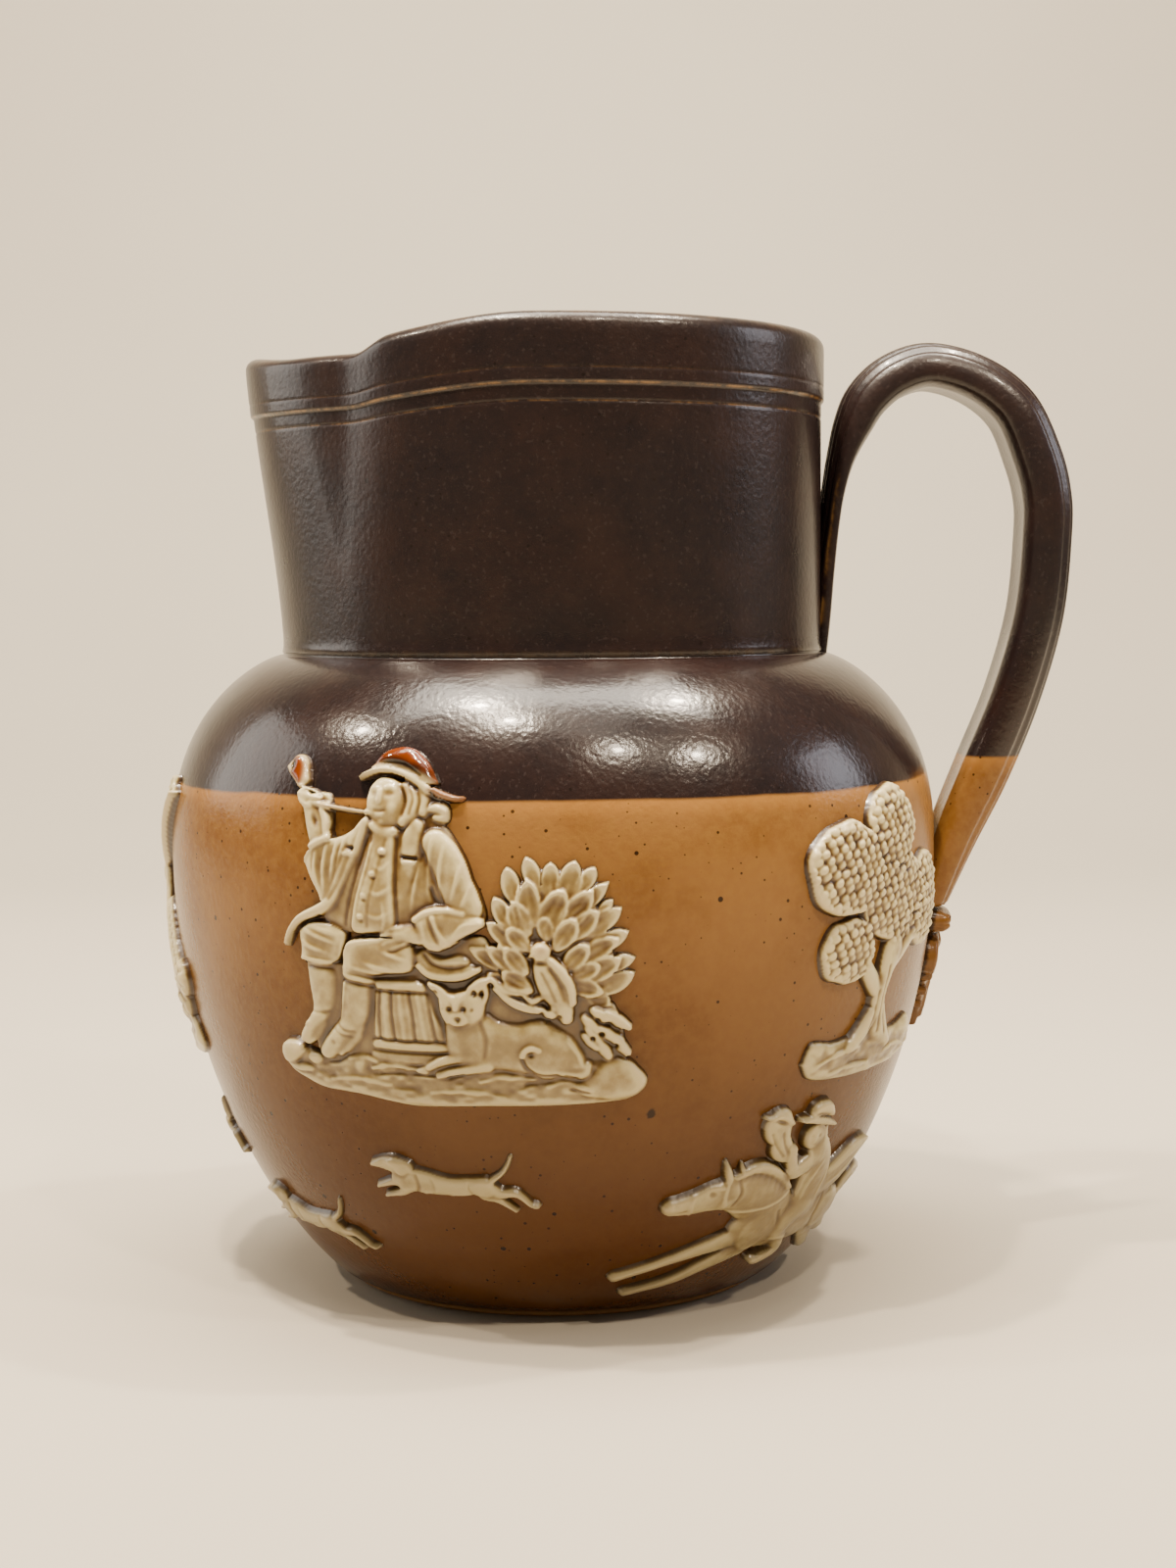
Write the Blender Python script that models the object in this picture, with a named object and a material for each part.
"""Salt-glazed stoneware jug with a reeded strap handle and applied relief sprigs.

The jug stands on z = 0 with its axis on the world Z axis. The handle points to +X and the
pouring lip to -X. Sizes are in millimetres and become metres where a mesh is made.
Azimuths are measured from -Y, the front, towards the handle.
"""
import math

import bmesh
import bpy
import numpy as np
from mathutils import Vector
from mathutils.geometry import delaunay_2d_cdt

MM = 0.001

# Thrown body
RIM_HEIGHT = 170.0
FOOT_RADIUS = 38.6
BELLY_RADIUS = 69.9
BELLY_HEIGHT = 78.0
NECK_RADIUS = 49.2
NECK_BASE_HEIGHT = 113.4
WALL = 4.7
FLOOR = 6.5
FOOT_BEVEL = 0.8
RIM_BAND_HEIGHT = 11.5
RIM_BAND_THICKNESS = 0.5

# Pulled lip, opposite the handle
LIP_REACH = 6.0
LIP_DROP = 3.3
LIP_HALF_ANGLE = 44.0
LIP_SAG_ANGLE = 86.0
LIP_PINCH = 0.9
LIP_NOTCH = 2.0

# Strap handle
HANDLE_WIDTH = 16.0
HANDLE_THICKNESS = 9.8
HANDLE_REACH = 46.6
HANDLE_TOP_DROP = 0.4
HANDLE_FOOT_HEIGHT = 66.5
HANDLE_REED_DEPTH = 0.55

# Applied sprigs: the gap of a luted joint, the thinnest edge, the relief of the figures
SPRIG_GAP = 0.3
SPRIG_EDGE = 0.7
SPRIG_RELIEF = 2.3
TERMINAL_RELIEF = 4.4
TOPER_HEIGHT = 60.0
TREE_HEIGHT = 51.0
WINDMILL_HEIGHT = 54.0
HUNTSMAN_HEIGHT = 37.5
HOUND_HEIGHT = 11.6
TERMINAL_HEIGHT = 23.5

# Two friezes: the zero lines of the moulds as shares of the shoulder's height
UPPER_FRIEZE = 0.40
LOWER_FRIEZE = 0.106
HOUND_HIGH = 0.176
HOUND_LOW = 0.084

# Facets
BODY_SEGMENTS = 40
PROFILE_TOLERANCE = 0.36
INSIDE_TOLERANCE = 0.8
RING_SPACING = 24.0
HANDLE_SEGMENTS = 23
MOULD_STEP = 0.6
OUTLINE_TOLERANCE = 0.42
SMALLEST_HOLE = 7.0
RELIEF_TOLERANCE = 0.65
BACK_SPACING = 7.0

# Azimuths around the body
HANDLE_AZIMUTH = 90.0
LIP_AZIMUTH = -90.0
TOPER_AZIMUTHS = {"front": -12.0, "back": 192.0}
TREE_AZIMUTHS = {"front": 60.0, "back": 124.0}
HUNTSMAN_AZIMUTHS = {"front": 45.0, "back": 170.0}
HOUND_PLACES = ((-20.0, HOUND_HIGH), (-54.7, HOUND_LOW), (-90.0, HOUND_HIGH), (-126.0, HOUND_LOW),
                (108.0, HOUND_HIGH))

CLAY_TAN = (0.36, 0.19, 0.075)
CLAY_BUFF = (0.62, 0.50, 0.30)
CLAY_DARK = (0.11, 0.075, 0.06)


def smooth(t):
    """Ease from 0 to 1 as t goes from 0 to 1."""
    t = np.clip(t, 0.0, 1.0)
    return t * t * (3.0 - 2.0 * t)


# The thrown profile

def outer_radius(z):
    """Outer radius of the turned body at height z, without the lip."""
    low = np.clip(1.0 - np.asarray(z, float) / BELLY_HEIGHT, 0.0, 1.0)
    high = np.clip((z - BELLY_HEIGHT) / (NECK_BASE_HEIGHT - BELLY_HEIGHT), 0.0, 1.0)
    belly = FOOT_RADIUS + (BELLY_RADIUS - FOOT_RADIUS) * (1.0 - low ** 2) ** 0.78
    shoulder = BELLY_RADIUS - (BELLY_RADIUS - NECK_RADIUS) * (1.0 - (1.0 - high ** 2.5) ** 0.70)
    return np.where(z < BELLY_HEIGHT, belly, shoulder)


def meridian():
    """Dense outer profile up to the neck: arc length, radius, height and outward normal."""
    z = NECK_BASE_HEIGHT * (1.0 - np.cos(np.linspace(0.0, math.pi, 900))) / 2.0
    r = outer_radius(z)
    s = np.concatenate([[0.0], np.cumsum(np.hypot(np.diff(r), np.diff(z)))])
    tr, tz = np.gradient(r, s), np.gradient(z, s)
    return s, r, z, tz, -tr


ARC, ARC_RADIUS, ARC_HEIGHT, NORMAL_R, NORMAL_Z = meridian()


def on_body(azimuth, base, u, v, lift):
    """Place a point u along the girth and v up the meridian from (azimuth, base)."""
    s = np.interp(base, ARC_HEIGHT, ARC) + v
    r = np.interp(s, ARC, ARC_RADIUS)
    z = np.interp(s, ARC, ARC_HEIGHT)
    angle = math.radians(azimuth) + u / r
    reach = r + lift * np.interp(s, ARC, NORMAL_R)
    height = z + lift * np.interp(s, ARC, NORMAL_Z)
    return reach * np.sin(angle), -reach * np.cos(angle), height


def lip_pull(azimuth, z):
    """Outward pull and drop of the pouring lip at an azimuth (degrees) and height."""
    off = abs((azimuth - LIP_AZIMUTH + 180.0) % 360.0 - 180.0)
    up = max(0.0, (z - NECK_BASE_HEIGHT) / (RIM_HEIGHT - NECK_BASE_HEIGHT))
    rise = 0.5 * up + 0.5 * float(smooth(up))
    bulge = LIP_REACH * max(0.0, math.cos(math.radians(90.0 * min(1.0, off / LIP_HALF_ANGLE)))) ** 1.2
    pinch = LIP_PINCH * math.exp(-((off - LIP_HALF_ANGLE * 1.05) / 9.0) ** 2)
    sag = float(smooth((LIP_SAG_ANGLE - off) / (LIP_SAG_ANGLE - LIP_HALF_ANGLE)))
    notch = LIP_NOTCH * float(smooth(off / 30.0) * smooth((56.0 - off) / 10.0)) * up ** 6
    return (bulge - pinch) * rise, -LIP_DROP * sag * up ** 1.4 - notch


# Mesh helpers

def material(name, colour, roughness):
    """Principled material of one piece."""
    made = bpy.data.materials.new(name)
    made.use_nodes = True
    shader = made.node_tree.nodes["Principled BSDF"]
    shader.inputs["Base Color"].default_value = (*colour, 1.0)
    shader.inputs["Roughness"].default_value = roughness
    return made


def add_piece(name, vertices, faces, colour, roughness=0.35, sharp=40.0):
    """Make one named piece from millimetre vertices."""
    mesh = bpy.data.meshes.new(name)
    mesh.from_pydata([Vector(v) * MM for v in vertices], [], faces)
    work = bmesh.new()
    work.from_mesh(mesh)
    bmesh.ops.recalc_face_normals(work, faces=work.faces)
    if work.calc_volume(signed=True) < 0.0:
        bmesh.ops.reverse_faces(work, faces=work.faces)
    bmesh.ops.triangulate(work, faces=[f for f in work.faces if len(f.verts) > 3])
    work.to_mesh(mesh)
    work.free()
    mesh.shade_smooth()
    mesh.set_sharp_from_angle(angle=math.radians(sharp))
    mesh.materials.append(material(name + "_clay", colour, roughness))
    piece = bpy.data.objects.new(name, mesh)
    bpy.context.scene.collection.objects.link(piece)
    return piece


def bridge(first, second, count):
    """Quads between two closed rings of count vertices that start at first and second."""
    turn = [(i + 1) % count for i in range(count)]
    return [(first + i, first + turn[i], second + turn[i], second + i) for i in range(count)]


def ring_stack(rings):
    """Vertices and quads of closed rings one after another, without end caps."""
    count = len(rings[0])
    vertices = [point for ring in rings for point in ring]
    faces = []
    for row in range(len(rings) - 1):
        faces += bridge(row * count, (row + 1) * count, count)
    return vertices, faces


def thin(points, tolerance, longest):
    """Douglas-Peucker: the points that an open line's shape, or the body's curve, needs."""
    if len(points) < 3:
        return points
    chord = points[-1] - points[0]
    length = max(1e-9, float(np.hypot(*chord)))
    reach = points - points[0]
    away = np.abs(chord[0] * reach[:, 1] - chord[1] * reach[:, 0]) / length
    if length < 1e-6:
        away = np.hypot(*(points - points[0]).T)
    worst = int(np.argmax(away))
    if away[worst] <= tolerance:
        if length <= longest:
            return points[[0, -1]]
        worst = len(points) // 2
    lower = thin(points[:worst + 1], tolerance, longest)
    return np.vstack([lower[:-1], thin(points[worst:], tolerance, longest)])


# Body

def turned_ring(radius, z, pulled=True):
    """One ring of the body, with the lip pulled into it."""
    ring = []
    for i in range(BODY_SEGMENTS):
        azimuth = 360.0 * i / BODY_SEGMENTS
        out, drop = lip_pull(azimuth, z) if pulled else (0.0, 0.0)
        angle = math.radians(azimuth)
        ring.append(((radius + out) * math.sin(angle), -(radius + out) * math.cos(angle), z + drop))
    return ring


def outside_profile():
    """Radius and height of the rings from the foot up the outside to below the rim."""
    foot = [(FOOT_RADIUS - FOOT_BEVEL, 0.0), (FOOT_RADIUS + FOOT_BEVEL, FOOT_BEVEL)]
    curve = np.column_stack([ARC_RADIUS, ARC_HEIGHT])
    belly = [(float(r), float(z)) for r, z in thin(curve, PROFILE_TOLERANCE, RING_SPACING)[1:-1]
             if z > 2.0 * FOOT_BEVEL]
    band_low = RIM_HEIGHT - RIM_BAND_HEIGHT
    plain = band_low - NECK_BASE_HEIGHT
    neck = [(NECK_RADIUS, NECK_BASE_HEIGHT + plain * share) for share in (0.0, 0.42, 0.97)]
    band = NECK_RADIUS + RIM_BAND_THICKNESS
    return foot + belly + neck + [(band, band_low + 0.03 * plain), (band, RIM_HEIGHT - WALL / 2.0)]


def rim_profile():
    """The half-round rim."""
    half = WALL / 2.0
    middle = NECK_RADIUS + RIM_BAND_THICKNESS - half
    turns = [math.radians(turn) for turn in (40.0, 90.0, 140.0)]
    return [(middle + half * math.cos(turn), RIM_HEIGHT - half * (1.0 - math.sin(turn))) for turn in turns]


def inside_profile():
    """Rings down the inside, from the neck to the floor, a wall's thickness in."""
    inner_neck = NECK_RADIUS - WALL
    heights = np.linspace(NECK_BASE_HEIGHT - WALL, FLOOR + WALL, 200)
    slopes = np.gradient(outer_radius(heights), heights)
    thickness = WALL * np.minimum(1.5, np.hypot(1.0, slopes))
    hollow = np.column_stack([outer_radius(heights) - thickness, heights])
    belly = [(float(r), float(z)) for r, z in thin(hollow, INSIDE_TOLERANCE, 2.0 * RING_SPACING)]
    neck = [(inner_neck, RIM_HEIGHT - RIM_BAND_HEIGHT), (inner_neck, NECK_BASE_HEIGHT)]
    return neck + belly + [(belly[-1][0] - WALL, FLOOR)]


def make_body():
    """Hollow thrown body: one closed skin outside, over the rim and inside."""
    profile = outside_profile() + rim_profile() + inside_profile()
    vertices, faces = ring_stack([turned_ring(r, z) for r, z in profile])
    faces.append(tuple(range(BODY_SEGMENTS)))
    faces.append(tuple(range(len(vertices) - BODY_SEGMENTS, len(vertices))))
    return add_piece("jug_body", vertices, faces, CLAY_TAN, 0.3, 50.0)


def make_body_cutter():
    """Solid of the body's outside grown by the joint gap, for fitting the handle."""
    rows = [(r + SPRIG_GAP, z) for r, z in outside_profile()]
    rows.append((rows[-1][0], RIM_HEIGHT * 1.2))
    vertices, faces = ring_stack([turned_ring(r, z, False) for r, z in rows])
    faces.append(tuple(range(BODY_SEGMENTS)))
    faces.append(tuple(range(len(vertices) - BODY_SEGMENTS, len(vertices))))
    cutter = add_piece("body_cutter", vertices, faces, CLAY_TAN)
    cutter.hide_render = True
    cutter.display_type = "WIRE"
    return cutter


# Handle

def spline(points, count):
    """Catmull-Rom curve through rows of numbers, sampled at count even steps."""
    rows = np.array(points, float)
    padded = np.vstack([2 * rows[0] - rows[1], rows, 2 * rows[-1] - rows[-2]])
    out = []
    for t in np.linspace(0.0, len(rows) - 1.000001, count):
        i, f = int(t), t - int(t)
        a, b, c, d = padded[i:i + 4]
        out.append(0.5 * (2 * b + (c - a) * f + (2 * a - 5 * b + 4 * c - d) * f ** 2
                          + (3 * b - a - 3 * c + d) * f ** 3))
    return np.array(out)


def handle_line():
    """Centre line of the strap: x, z and thickness, from the neck over the top to the belly."""
    top = RIM_HEIGHT - HANDLE_TOP_DROP - HANDLE_THICKNESS * 0.43
    foot_x = float(outer_radius(HANDLE_FOOT_HEIGHT))
    clear = HANDLE_REACH - HANDLE_THICKNESS / 2.0
    # Shares of the reach from the neck, of the height above the neck's base, of the thickness
    up_the_neck = ((-0.028, -0.02, 0.42), (-0.007, 0.127, 0.40), (0.008, 0.28, 0.39), (0.029, 0.435, 0.36),
                   (0.05, 0.56, 0.38), (0.084, 0.675, 0.48), (0.138, 0.79, 0.68), (0.206, 0.888, 0.80),
                   (0.32, 0.965, 0.85))
    # Shares of the reach from the neck, of the height above the handle's foot, of the thickness
    over_the_top = ((0.482, 1.0, 0.86), (0.69, 0.975, 0.90), (0.855, 0.92, 0.95), (0.95, 0.835, 1.0),
                    (0.995, 0.763, 1.0), (1.0, 0.69, 1.0))
    # Shares of the reach from the belly, of the height above the handle's foot, of the thickness
    down_to_belly = ((0.936, 0.541, 1.0), (0.744, 0.389, 1.0), (0.484, 0.248, 1.0), (0.235, 0.126, 0.86),
                     (0.03, 0.0, 0.56))
    rise = top - HANDLE_FOOT_HEIGHT
    rows = [(NECK_RADIUS + clear * x, NECK_BASE_HEIGHT + (top - NECK_BASE_HEIGHT) * z, t)
            for x, z, t in up_the_neck]
    rows += [(NECK_RADIUS + clear * x, HANDLE_FOOT_HEIGHT + rise * z, t) for x, z, t in over_the_top]
    rows += [(foot_x + (NECK_RADIUS + clear - foot_x) * x, HANDLE_FOOT_HEIGHT + rise * z, t)
             for x, z, t in down_to_belly]
    return spline([(x, z, t * HANDLE_THICKNESS) for x, z, t in rows], HANDLE_SEGMENTS)


def strap_section(thickness):
    """Points (across, outward) of the strap: flat inside, reeds along the round back."""
    half = HANDLE_WIDTH / 2.0
    section = [(-half * 0.6, -thickness / 2.0), (half * 0.6, -thickness / 2.0)]
    for turn in range(0, 181, 15):
        angle = math.radians(turn)
        back = -0.26 + 0.76 * math.sin(angle) ** 0.75
        reed = HANDLE_REED_DEPTH * (0.5 + 0.5 * math.cos(12.0 * angle)) if 50 < turn < 130 else 0.0
        section.append((half * math.cos(angle), thickness * back - min(reed, thickness * 0.08)))
    return section


def make_handle(cutter):
    """Reeded strap lofted along its line and fitted to the body with a joint gap."""
    line = handle_line()
    tangents = np.gradient(line[:, :2], axis=0)
    rings = []
    for index, ((x, z, thickness), (tx, tz)) in enumerate(zip(line, tangents)):
        if index == len(line) - 1:
            tx, tz = 0.0, -1.0
        length = math.hypot(tx, tz)
        out_x, out_z = -tz / length, tx / length
        section = strap_section(thickness)
        rings.append([(x + out_x * out, across, z + out_z * out) for across, out in section])
    count = len(rings[0])
    vertices, faces = ring_stack(rings)
    faces.append(tuple(range(count)))
    faces.append(tuple(range(len(vertices) - count, len(vertices))))
    handle = add_piece("handle", vertices, faces, CLAY_DARK, 0.3, 35.0)
    fit = handle.modifiers.new("Fit to body", "BOOLEAN")
    fit.operation = "DIFFERENCE"
    fit.solver = "EXACT"
    fit.object = cutter
    return handle


# Relief moulds

class Mould:
    """A sprig's flat mould: overlapping forms that set an outline and a height over it.

    The forms are drawn in millimetres around the mould's zero point. Heights are shares of
    the full relief.
    """

    def __init__(self, left, right, low, high):
        self.u, self.v = np.meshgrid(np.arange(left, right, MOULD_STEP), np.arange(low, high, MOULD_STEP))
        self.inside = np.full(self.u.shape, -5.0)
        self.height = np.zeros(self.u.shape)

    def add(self, inside, height):
        """Lay one form over those before it; the higher surface shows."""
        self.inside = np.maximum(self.inside, inside)
        self.height = np.where(inside > 0.0, np.maximum(self.height, height), self.height)

    def limb(self, stations, height, lift=0.0):
        """Round-backed stroke through (u, v, half width) stations."""
        for (u0, v0, w0), (u1, v1, w1) in zip(stations, stations[1:]):
            du, dv = u1 - u0, v1 - v0
            along = np.clip(((self.u - u0) * du + (self.v - v0) * dv) / (du * du + dv * dv), 0.0, 1.0)
            away = np.hypot(self.u - u0 - along * du, self.v - v0 - along * dv)
            width = w0 + (w1 - w0) * along
            dome = np.sqrt(np.clip(1.0 - (away / width) ** 2, 0.0, 1.0))
            self.add(width - away, lift + height * dome)

    def knob(self, u, v, wide, high, height, turn=0.0, lift=0.0):
        """Domed ellipse."""
        angle = math.radians(turn)
        a = ((self.u - u) * math.cos(angle) + (self.v - v) * math.sin(angle)) / wide
        b = ((self.v - v) * math.cos(angle) - (self.u - u) * math.sin(angle)) / high
        away = np.hypot(a, b)
        dome = np.sqrt(np.clip(1.0 - away ** 2, 0.0, 1.0))
        self.add((1.0 - away) * min(wide, high), lift + height * dome)

    def patch(self, outline, height, edge, lift=0.0):
        """Flat-topped area inside a smooth closed outline, rounded over an edge width."""
        ring = np.array(outline, float)
        closed = spline(np.vstack([ring, ring[:1]]), 4 * len(ring))
        inside = np.zeros(self.u.shape, bool)
        away = np.full(self.u.shape, 99.0)
        for (u0, v0), (u1, v1) in zip(closed, np.roll(closed, -1, axis=0)):
            du, dv = u1 - u0, v1 - v0
            if du * du + dv * dv < 1e-12:
                continue
            along = np.clip(((self.u - u0) * du + (self.v - v0) * dv) / (du * du + dv * dv), 0.0, 1.0)
            away = np.minimum(away, np.hypot(self.u - u0 - along * du, self.v - v0 - along * dv))
            if v0 != v1:
                crossing = ((v0 > self.v) != (v1 > self.v)) & (self.u < u0 + (self.v - v0) * du / dv)
                inside ^= crossing
        depth = np.where(inside, away, -away)
        rise = np.clip(depth / edge, 0.0, 1.0)
        self.add(depth, lift + height * np.sqrt(1.0 - (1.0 - rise) ** 2))

    def leaf(self, u, v, turn, length, width, height, lift=0.0):
        """Pointed leaf from its root towards a turn (degrees from +u)."""
        du, dv = math.cos(math.radians(turn)), math.sin(math.radians(turn))
        stations = [(u + du * length * s, v + dv * length * s, width * w)
                    for s, w in ((0.0, 0.45), (0.35, 0.9), (0.65, 1.0), (0.88, 0.7), (1.0, 0.25))]
        self.limb(stations, height, lift)


def mound(mould, left, right, top, bottom, height=0.6):
    """Ground under a figure: an irregular long patch from left to right."""
    span = right - left
    rising = ((0.0, 0.45), (0.04, 0.9), (0.2, 0.85), (0.45, 1.0), (0.7, 0.85), (0.9, 1.0), (1.0, 0.5))
    falling = ((0.97, 0.25), (0.8, 0.05), (0.55, 0.0), (0.3, 0.0), (0.08, 0.1))
    outline = [(left + span * a, bottom + (top - bottom) * b) for a, b in rising + falling]
    mould.patch(outline, height, 2.0)


def toper_mould():
    """Seated man with hat and long pipe, a barrel, a dog and a spray of leaves on a mound."""
    m = Mould(-38, 32, -7, 60)
    mound(m, -34.5, 28.8, 5.0, -3.8)
    m.knob(-31.5, 4.6, 3.0, 2.6, 0.8)
    # coat, sleeve and swept-back coat edge
    m.patch([(-16, 43.5), (-9, 44), (-3, 43), (0, 40), (2.2, 34), (3.6, 28), (1, 24), (-9, 23), (-20, 24.5),
             (-28, 26.5), (-22, 30), (-20, 36)], 0.62, 3.0)
    m.patch([(-17, 43), (-22.8, 40.6), (-25.6, 39.2), (-27.6, 36.2), (-26.3, 33), (-24.6, 29.7), (-21, 31),
             (-19, 38)], 0.7, 1.6)
    m.limb([(-17.5, 42.5, 0.9), (-19.5, 38, 1.1), (-20.7, 33, 1.2), (-23, 29.3, 1.1), (-28.5, 27.2, 1.0),
            (-32, 23.5, 0.9), (-32.3, 21, 0.6)], 0.35, 0.55)
    m.limb([(-9.3, 43, 0.8), (-10.3, 37, 0.9), (-10.9, 28, 0.8)], 0.25, 0.6)
    # forearm, hand and pipe
    m.limb([(-25.6, 40.3, 2.0), (-27.2, 43.5, 1.8), (-28.2, 46.6, 1.7)], 0.55)
    m.limb([(-27.6, 46.2, 0.9), (-22, 45.2, 0.8), (-14.5, 44.4, 0.8)], 0.4, 0.1)
    m.limb([(-29.4, 48.3, 1.1), (-30.2, 50.3, 2.0), (-31.0, 52.2, 2.6)], 0.5, 0.1)
    # head, wig and hat
    m.knob(-11.6, 46.6, 4.7, 4.9, 0.75, lift=0.1)
    m.limb([(-8.5, 44, 3.0), (-4.4, 45.4, 2.0)], 0.6)
    m.patch([(-15.8, 51.7), (-13.8, 54.2), (-10, 56), (-6.6, 54.9), (-4.5, 51.8), (-4.6, 49.2), (-9, 50.6),
             (-12.8, 51.2)], 0.85, 1.8)
    m.limb([(-17.2, 50.0, 0.7), (-13.5, 51.2, 0.9), (-8.8, 50.3, 0.9), (-4.6, 48.2, 1.1), (-0.8, 47.2, 0.8)],
           0.35, 0.6)
    # arm on the thigh and the coat's tail
    m.limb([(-1.5, 39, 3.4), (0.6, 33, 3.2), (0.9, 28.6, 2.9)], 0.4, 0.5)
    m.limb([(0.6, 27.6, 3.1), (-5.3, 26.2, 3.5)], 0.4, 0.6)
    m.limb([(-8.5, 26.0, 1.9), (-12.5, 25.3, 1.2)], 0.35, 0.6)
    m.patch([(-8.2, 22.6), (0, 22.5), (4.8, 20.2), (0, 18.3), (-5, 18.6)], 0.55, 1.5)
    # thin clay that joins the figures
    m.patch([(-27.5, 20), (-15, 24), (4.4, 24.5), (7.5, 18), (12.5, 13.5), (12, 4), (-27, 4)], 0.45, 1.0)
    # legs with shoes
    m.limb([(-24.8, 24, 4.0), (-25.0, 18, 3.2), (-24.9, 13, 2.6), (-26.6, 9.6, 1.9), (-28.6, 7.0, 1.5)], 0.6)
    m.limb([(-9, 22.8, 3.2), (-17.7, 22.3, 2.7), (-18.6, 17.5, 2.7), (-19.2, 13, 2.8), (-20.9, 9.2, 2.0),
            (-23.4, 6, 2.2), (-25.3, 4.4, 1.7)], 0.75, 0.2)
    # barrel with hoops
    m.patch([(-16.2, 18.6), (-7.4, 18.8), (-4.2, 12.5), (-3.0, 8), (-3.2, 3.5), (-16, 3), (-16.6, 8)],
            0.6, 2.0)
    for v, left, right in ((17.6, -15.8, -7.2), (7.4, -16.2, -3.2)):
        m.limb([(left, v, 0.8), (right, v, 0.8)], 0.25, 0.5)
    # dog
    m.limb([(-0.4, 8.5, 3.4), (5, 7.5, 4.4), (11, 7.2, 4.6), (15.8, 5.6, 3.6)], 0.65)
    m.knob(13.2, 6.4, 4.5, 3.9, 0.45, lift=0.5)
    m.knob(-1.0, 14.2, 3.3, 3.2, 0.7, lift=0.25)
    m.limb([(-3.0, 16.2, 1.2), (-5.2, 17.7, 0.6)], 0.4, 0.3)
    m.limb([(1.2, 16.6, 1.4), (3.4, 18.9, 0.7)], 0.4, 0.3)
    m.limb([(-5.5, 4.0, 0.9), (0.5, 4.6, 1.3), (5, 5.6, 1.5)], 0.4, 0.4)
    m.limb([(18.3, 6.5, 1.2), (18.0, 3.2, 1.6), (15.5, 2.9, 1.2)], 0.4, 0.3)
    # spray of leaves in two fans around a small bird, and a tuft beside it
    for turn in range(-12, 140, 15):
        m.leaf(13, 21.5, turn, 15.0, 1.5, 0.5)
    for turn in range(0, 200, 18):
        m.leaf(13, 21.5, turn, 9.6, 1.4, 0.35, 0.35)
    m.limb([(12.4, 23.8, 1.6), (13.2, 20.5, 2.3), (14.8, 16, 2.4), (14.5, 13, 1.8)], 0.4, 0.6)
    for u, v in ((21.5, 12.4), (24.4, 11), (20.6, 9.4), (23.6, 8.2), (25.4, 6.2)):
        m.knob(u, v, 1.9, 1.8, 0.45, lift=0.2)
    return m


def tree_mould():
    """Leafy tree of five clumps on a short trunk."""
    m = Mould(-32, 20, -8, 52)
    mound(m, -24.5, 11.5, 5.5, -3.6)
    m.limb([(-8.6, 3.5, 4.4), (-9.4, 9, 3.2), (-8.4, 15, 3.1), (-6.2, 20, 2.9)], 0.65)
    m.limb([(-9.6, 12, 2.0), (-13, 15.5, 1.8), (-16.2, 18, 1.6)], 0.5)
    m.limb([(-8.0, 14, 2.0), (-3.5, 18, 1.8), (3.5, 21.5, 1.6)], 0.5)
    clumps = ((-7.2, 38.9, 7.5, 7.2), (-20, 33, 9.4, 7.9), (-18.8, 19.4, 6.9, 5.6), (-6, 27.8, 11, 8.2),
              (6.2, 25.6, 7.5, 8.3))
    for u, v, wide, high in clumps:
        m.knob(u, v, wide, high, 0.75, lift=0.15)
    return m


def windmill_mould():
    """Post mill with four sails on a mound, a bush at its side."""
    m = Mould(-30, 30, -8, 56)
    mound(m, -21, 21, 5.0, -4.0)
    m.patch([(-6.4, 3), (6.4, 3), (4.6, 19), (3.6, 26.5), (0, 30.5), (-3.6, 26.5), (-4.6, 19)], 0.8, 2.2)
    for turn in (38, 128, 218, 308):
        du, dv = math.cos(math.radians(turn)), math.sin(math.radians(turn))
        m.limb([(0, 26.5, 0.9), (du * 24, 26.5 + dv * 24, 0.9)], 0.3, 0.6)
        m.limb([(du * 8 - dv * 1.6, 26.5 + dv * 8 + du * 1.6, 2.0),
                (du * 23 - dv * 1.9, 26.5 + dv * 23 + du * 1.9, 2.4)], 0.3, 0.25)
    m.knob(0, 26.5, 2.2, 2.2, 0.3, lift=0.7)
    for u, v, size in ((14.5, 6.5, 4.6), (18, 11, 3.6), (-13.5, 6, 4.0), (-17.5, 5, 2.8)):
        m.knob(u, v, size, size, 0.7)
    return m


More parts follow.
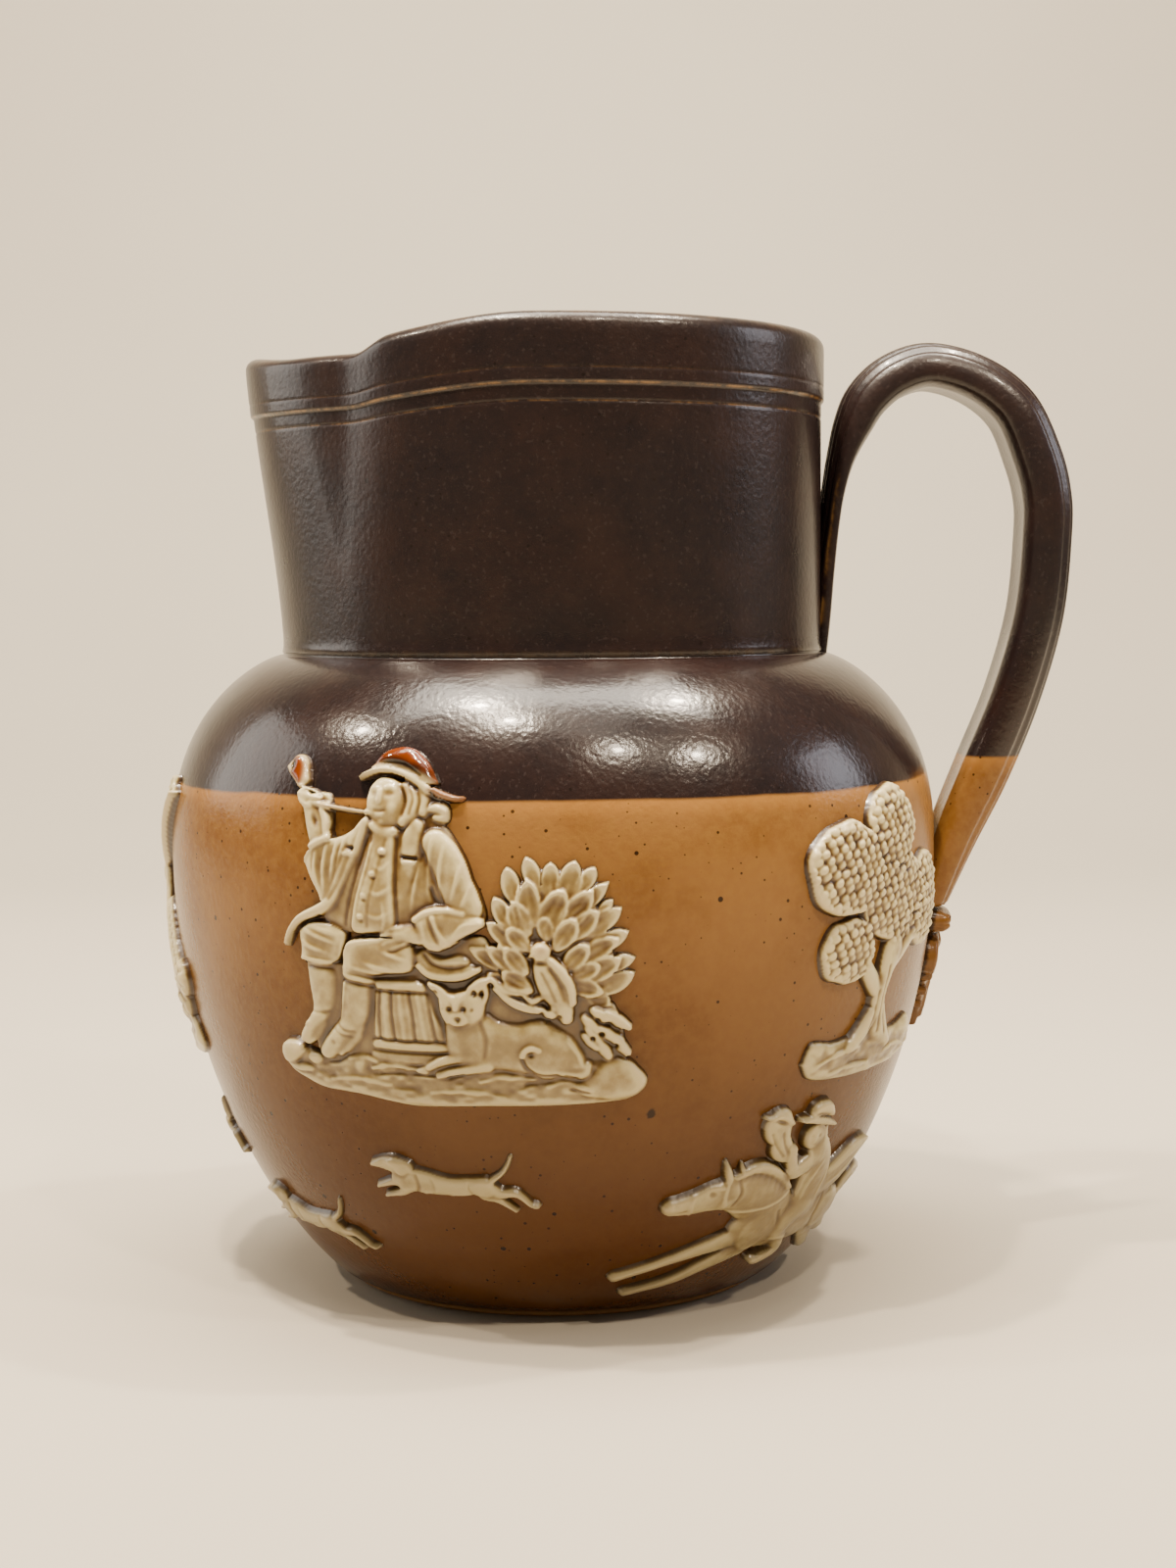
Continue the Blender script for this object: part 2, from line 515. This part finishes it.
def huntsman_mould():
    """Rider with a raised horn on a horse at full stretch."""
    m = Mould(-34, 36, -10, 34)
    # horse: body, neck and head, legs, tail
    m.limb([(-7, 5.5, 5.4), (2, 4.4, 5.0), (10, 5.0, 5.3), (15, 4.6, 5.0)], 0.75)
    m.limb([(-4, 8.4, 5.0), (-9, 13.2, 5.4), (-15.4, 15.2, 3.9)], 0.7, 0.05)
    m.limb([(-15, 14.8, 3.6), (-20, 14.2, 2.8), (-25.8, 13.2, 1.9)], 0.65, 0.2)
    m.limb([(-16.4, 17.0, 1.3), (-18.4, 20.9, 0.7)], 0.4, 0.2)
    m.limb([(-9, 4.0, 2.6), (-16, 2.6, 1.9), (-22, 0.6, 1.4), (-28.8, -2.4, 1.2)], 0.55)
    m.limb([(-7, 1.0, 2.6), (-13, -2.0, 1.8), (-19, -5.0, 1.4), (-24.6, -6.6, 1.1)], 0.5)
    m.limb([(15, 3.2, 3.4), (20, -1, 2.2), (25.5, -3.0, 1.6), (30.5, -5.6, 1.1)], 0.6)
    m.limb([(12.5, 1.2, 3.2), (16.5, -4.2, 2.0), (22.5, -6.8, 1.3), (26.5, -8.0, 1.0)], 0.5)
    m.limb([(18.5, 7.5, 1.6), (23.5, 10.0, 2.0), (29.5, 9.0, 1.4), (32.0, 7.0, 0.6)], 0.5)
    # rider: coat, leg, arm with horn, head and cap
    m.limb([(4.0, 9, 4.4), (3.6, 14, 4.3), (1.8, 20, 3.6)], 0.55, 0.4)
    m.limb([(7.5, 11.6, 3.2), (14, 15.6, 3.2), (20, 18.6, 1.2)], 0.45, 0.4)
    m.limb([(3.0, 8.5, 2.5), (-0.6, 4.2, 2.0), (1.8, -0.6, 1.6), (-2.2, -2.4, 1.3)], 0.4, 0.6)
    m.limb([(1.6, 19.8, 2.2), (-3.6, 17.6, 1.8), (-5.6, 21.6, 1.5)], 0.4, 0.6)
    m.limb([(-6.4, 20.4, 1.5), (-8.0, 22.6, 2.4), (-10.2, 27.0, 3.4)], 0.4, 0.3)
    m.knob(-0.8, 23.8, 2.9, 3.1, 0.6, lift=0.3)
    m.limb([(-6.2, 27.5, 0.9), (-0.6, 27.6, 1.5), (3.4, 25.8, 0.9)], 0.4, 0.5)
    m.knob(-0.6, 28.6, 2.6, 1.9, 0.4, lift=0.5)
    return m


def hound_mould():
    """Hound at a run, nose to the left."""
    m = Mould(-15, 20, 0, 17)
    m.limb([(-4.8, 9.8, 2.7), (0, 9.1, 2.5), (5, 8.8, 2.1), (9.2, 9.1, 2.2)], 0.7)
    m.limb([(-4.6, 11.2, 2.3), (-7.2, 12.5, 1.7), (-9.9, 12.3, 0.9)], 0.65, 0.1)
    m.limb([(-6.2, 13.2, 0.9), (-4.8, 12.0, 0.9)], 0.3, 0.5)
    m.limb([(-5, 9.2, 1.4), (-7.6, 8.6, 1.0), (-9.7, 7.7, 0.8)], 0.5)
    m.limb([(-4, 8.0, 1.4), (-6.2, 6.8, 1.0), (-8.4, 6.0, 0.8)], 0.5)
    m.limb([(9.6, 8.8, 1.9), (12.6, 7.9, 1.1), (14.8, 7.2, 0.9), (17, 5.4, 0.8)], 0.5)
    m.limb([(9, 7.6, 1.7), (11.4, 6.3, 1.0), (13.4, 4.4, 0.8)], 0.5)
    m.limb([(10.2, 10.2, 0.9), (12.6, 12.2, 0.7), (14.0, 15.0, 0.5)], 0.4)
    return m


def terminal_mould():
    """Collar and pointed leaf that cover the foot of the strap."""
    m = Mould(-12, 12, -24, 3)
    m.limb([(-6.6, -2.2, 2.2), (6.6, -2.2, 2.2)], 1.4)
    m.limb([(0, -6.8, 6.2), (0, -10.5, 5.2), (0, -15.5, 3.6), (0, -21.5, 1.2)], 0.8)
    for side in (-1, 1):
        m.limb([(side * 2.5, -6, 2.0), (side * 6.2, -9.2, 1.9), (side * 5.6, -11.5, 1.2)], 0.55, 0.1)
    m.limb([(0, -4, 1.0), (0, -19, 0.7)], 0.25, 0.65)
    return m


# Sprig solids

def outline_loops(mould):
    """Closed outlines of the mould's silhouette, thinned to the points that their shape needs."""
    rows, columns = mould.u.shape
    work = bmesh.new()
    grid = [[work.verts.new((mould.u[j, i], mould.v[j, i], mould.inside[j, i])) for i in range(columns)]
            for j in range(rows)]
    for j in range(rows - 1):
        for i in range(columns - 1):
            corners = (grid[j][i], grid[j][i + 1], grid[j + 1][i + 1], grid[j + 1][i])
            if max(corner.co.z for corner in corners) > 0.0:
                work.faces.new(corners[:3])
                work.faces.new((corners[0], corners[2], corners[3]))
    everything = work.verts[:] + work.edges[:] + work.faces[:]
    bmesh.ops.bisect_plane(work, geom=everything, plane_co=(0, 0, 0), plane_no=(0, 0, 1), clear_inner=True)
    follow = {}
    for edge in work.edges:
        if len(edge.link_faces) == 1:
            loop = edge.link_loops[0]
            follow[loop.vert] = loop.link_loop_next.vert
    loops = []
    while follow:
        start, vertex = next(iter(follow.items()))
        del follow[start]
        loop = [tuple(start.co[:2])]
        while vertex is not start:
            loop.append(tuple(vertex.co[:2]))
            vertex = follow.pop(vertex)
        loops.append(np.array(loop))
    work.free()
    return loops


def shoelace(loop):
    """Signed area of a closed loop."""
    nxt = np.roll(loop, -1, axis=0)
    return 0.5 * float(np.sum(loop[:, 0] * nxt[:, 1] - nxt[:, 0] * loop[:, 1]))


def thin_loop(loop, tolerance):
    """The same for a closed loop, split at its two farthest ends."""
    first = int(np.argmin(loop[:, 0]))
    loop = np.roll(loop, -first, axis=0)
    far = int(np.argmax(np.hypot(*(loop - loop[0]).T)))
    closed = np.vstack([loop, loop[:1]])
    halves = (thin(half, tolerance, BACK_SPACING) for half in (closed[:far + 1], closed[far:]))
    return np.vstack([half[:-1] for half in halves])


def inside_loops(loops, u, v):
    """Even-odd test of points against all loops together."""
    within = np.zeros(np.shape(u), bool)
    for loop in loops:
        for (u0, v0), (u1, v1) in zip(loop, np.roll(loop, -1, axis=0)):
            if v0 != v1:
                within ^= ((v0 > v) != (v1 > v)) & (u < u0 + (v - v0) * (u1 - u0) / (v1 - v0))
    return within


def delaunay(loops, extra):
    """Constrained Delaunay triangles over the loops' points and the extra ones."""
    points = [Vector(p) for loop in loops for p in loop] + [Vector(p) for p in extra]
    edges, start = [], 0
    for loop in loops:
        edges += [(start + i, start + (i + 1) % len(loop)) for i in range(len(loop))]
        start += len(loop)
    _, _, faces, origins, _, _ = delaunay_2d_cdt(points, edges, [], 0, 1e-6)
    return points, faces, origins


def thin_outlines(loops):
    """Thin all outlines as far as none of them crosses another or itself."""
    for share in (1.0, 0.7, 0.5, 0.3, 0.15):
        thinned = [thin_loop(loop, OUTLINE_TOLERANCE * share) for loop in loops]
        origins = delaunay(thinned, [])[2]
        if all(origins):
            return thinned
    return loops


def triangulate(loops, extra):
    """Delaunay triangles inside the loops, through the loops' points and the extra ones."""
    points, faces, origins = delaunay(loops, extra)
    source = [origin[0] for origin in origins]
    triangles = np.array([[source[i] for i in face] for face in faces])
    flat = np.array([p[:] for p in points])
    centre = flat[triangles].mean(axis=1)
    return flat, triangles[inside_loops(loops, centre[:, 0], centre[:, 1])]


def relief_height(mould):
    """Height over the mould's ground as a share of the full relief, never under the edge."""
    return np.maximum(mould.height, SPRIG_EDGE / SPRIG_RELIEF)


def pick_relief_points(mould, loops):
    """Grid points that the front needs: the worst one of each triangle, until all are close."""
    height = relief_height(mould) * SPRIG_RELIEF
    deep = inside_loops(loops, mould.u, mould.v) & (mould.inside > 0.45)
    pu, pv, ph = mould.u[deep], mould.v[deep], height[deep]
    chosen, chosen_height = [], []
    rim = sum(len(loop) for loop in loops)
    for _ in range(9):
        flat, triangles = triangulate(loops, chosen)
        z = np.concatenate([np.full(rim, SPRIG_EDGE), chosen_height])
        fresh = []
        for a, b, c in triangles:
            (au, av), (bu, bv), (cu, cv) = flat[a], flat[b], flat[c]
            area = (bu - au) * (cv - av) - (cu - au) * (bv - av)
            if abs(area) < 0.8:
                continue
            box = (pu > min(au, bu, cu)) & (pu < max(au, bu, cu))
            box &= (pv > min(av, bv, cv)) & (pv < max(av, bv, cv))
            if not box.any():
                continue
            u, v, h = pu[box], pv[box], ph[box]
            s = ((bu - u) * (cv - v) - (cu - u) * (bv - v)) / area
            t = ((cu - u) * (av - v) - (au - u) * (cv - v)) / area
            inner = (s > 0.06) & (t > 0.06) & (s + t < 0.94)
            if not inner.any():
                continue
            miss = np.where(inner, np.abs(h - (s * z[a] + t * z[b] + (1.0 - s - t) * z[c])), 0.0)
            worst = int(np.argmax(miss))
            if miss[worst] > RELIEF_TOLERANCE:
                fresh.append((float(u[worst]), float(v[worst]), float(h[worst])))
        if not fresh:
            break
        chosen += [point[:2] for point in fresh]
        chosen_height += [point[2] for point in fresh]
    return chosen, chosen_height


def pick_back_points(mould, loops):
    """A wide even spread of points that lets the back bend with the body."""
    us = np.arange(mould.u.min(), mould.u.max(), BACK_SPACING)
    vs = np.arange(mould.v.min(), mould.v.max(), BACK_SPACING)
    u, v = np.meshgrid(us, vs)
    column = np.clip(np.round((u - mould.u.min()) / MOULD_STEP).astype(int), 0, mould.u.shape[1] - 1)
    row = np.clip(np.round((v - mould.v.min()) / MOULD_STEP).astype(int), 0, mould.u.shape[0] - 1)
    deep = (mould.inside[row, column] > BACK_SPACING * 0.2) & inside_loops(loops, u, v)
    return list(zip(u[deep].tolist(), v[deep].tolist()))


class Sprig:
    """A mould's relief cut out once, ready to be pressed onto the body in several places."""

    def __init__(self, mould, tall, relief=SPRIG_RELIEF):
        loops = outline_loops(mould)
        outer = max(loops, key=lambda loop: abs(shoelace(loop)))
        holes = [loop for loop in loops if loop is not outer and inside_loops([outer], *loop[0])
                 and abs(shoelace(loop)) > SMALLEST_HOLE]
        self.loops = thin_outlines([outer] + holes)
        self.scale = tall / float(np.ptp(outer[:, 1]))
        self.top = float(outer[:, 1].max()) * self.scale
        self.relief = relief / SPRIG_RELIEF
        extra, heights = pick_relief_points(mould, self.loops)
        rim = sum(len(loop) for loop in self.loops)
        self.front, self.front_faces = triangulate(self.loops, extra)
        self.heights = np.concatenate([np.full(rim, SPRIG_EDGE / self.relief), heights])
        self.back, self.back_faces = triangulate(self.loops, pick_back_points(mould, self.loops))
        self.rim = rim

    def press(self, name, azimuth, base, colour=CLAY_BUFF):
        """Wrap the relief around the body as one closed solid, a joint gap off its surface."""
        vertices = []
        for (u, v), height in zip(self.front, self.heights):
            lift = SPRIG_GAP + height * self.relief
            vertices.append(on_body(azimuth, base, u * self.scale, v * self.scale, lift))
        behind = len(vertices)
        for u, v in self.back:
            vertices.append(on_body(azimuth, base, u * self.scale, v * self.scale, SPRIG_GAP))
        faces = [tuple(face) for face in self.front_faces]
        faces += [tuple(behind + i for i in reversed(face)) for face in self.back_faces]
        start = 0
        for loop in self.loops:
            count = len(loop)
            faces += bridge(behind + start, start, count)
            start += count
        return add_piece(name, vertices, faces, colour, 0.35, 45.0)


def press_pair(sprig, name, azimuths, base):
    """Press one mould at each named azimuth."""
    for side, azimuth in azimuths.items():
        sprig.press(f"{name}_{side}", azimuth, base)


def main():
    """Clear the scene and make every piece of the jug."""
    for old in list(bpy.data.objects):
        bpy.data.objects.remove(old, do_unlink=True)
    make_body()
    make_handle(make_body_cutter())
    upper = UPPER_FRIEZE * NECK_BASE_HEIGHT
    lower = LOWER_FRIEZE * NECK_BASE_HEIGHT
    press_pair(Sprig(toper_mould(), TOPER_HEIGHT), "toper_group", TOPER_AZIMUTHS, upper)
    press_pair(Sprig(tree_mould(), TREE_HEIGHT), "tree", TREE_AZIMUTHS, upper)
    press_pair(Sprig(huntsman_mould(), HUNTSMAN_HEIGHT), "huntsman", HUNTSMAN_AZIMUTHS, lower)
    Sprig(windmill_mould(), WINDMILL_HEIGHT).press("windmill", LIP_AZIMUTH, upper)
    hound = Sprig(hound_mould(), HOUND_HEIGHT)
    for number, (azimuth, share) in enumerate(HOUND_PLACES, 1):
        hound.press(f"hound_{number}", azimuth, share * NECK_BASE_HEIGHT)
    terminal = Sprig(terminal_mould(), TERMINAL_HEIGHT, TERMINAL_RELIEF)
    terminal.press("handle_terminal", HANDLE_AZIMUTH, HANDLE_FOOT_HEIGHT - SPRIG_GAP - terminal.top)


main()
